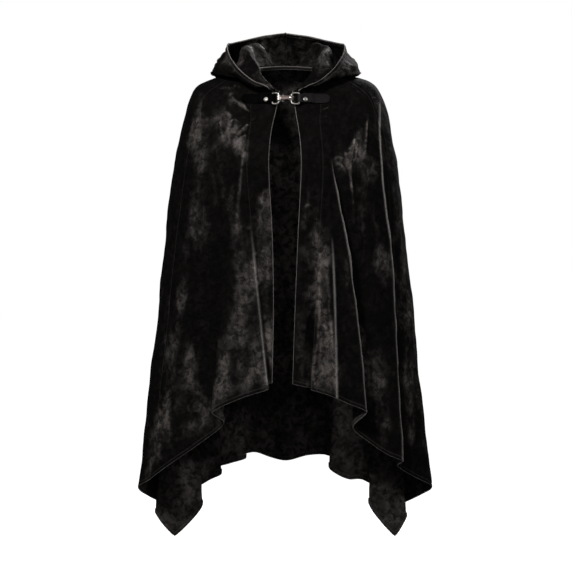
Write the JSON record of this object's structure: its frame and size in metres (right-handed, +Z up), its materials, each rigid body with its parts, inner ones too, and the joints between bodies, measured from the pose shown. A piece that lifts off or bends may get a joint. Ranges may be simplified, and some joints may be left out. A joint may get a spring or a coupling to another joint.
{
  "type": "hooded cloak",
  "caption": "Short hooded cloak of crushed velvet, open down the front, with a strap and snap hook clasp at the neck and a pointed hem.",
  "frame": {"origin": "middle of the neck, where the wearer's shoulders hold the cloak", "axes": "+Z up, -Y the front of the cloak, -X the wearer's right"},
  "size_m": [0.6462, 0.3885, 1.1242],
  "materials": {
    "velvet": "crushed pile velvet",
    "tape": "woven tape",
    "leather": "smooth, half matt",
    "steel": "polished, slightly worn"
  },
  "bodies": {
    "root": {"front_strip_right": "velvet", "front_strip_left": "velvet", "front_panel_right": "velvet", "front_panel_left": "velvet", "back_panel": "velvet", "hood_right": "velvet", "hood_left": "velvet", "neck_tape": "tape", "strap_right": "leather", "strap_left": "leather", "rivet_right": "steel", "rivet_left": "steel", "ring_right": "steel", "ring_left": "steel", "snap_hook": "steel", "snap_lever": "steel"}
  },
  "joints": []
}
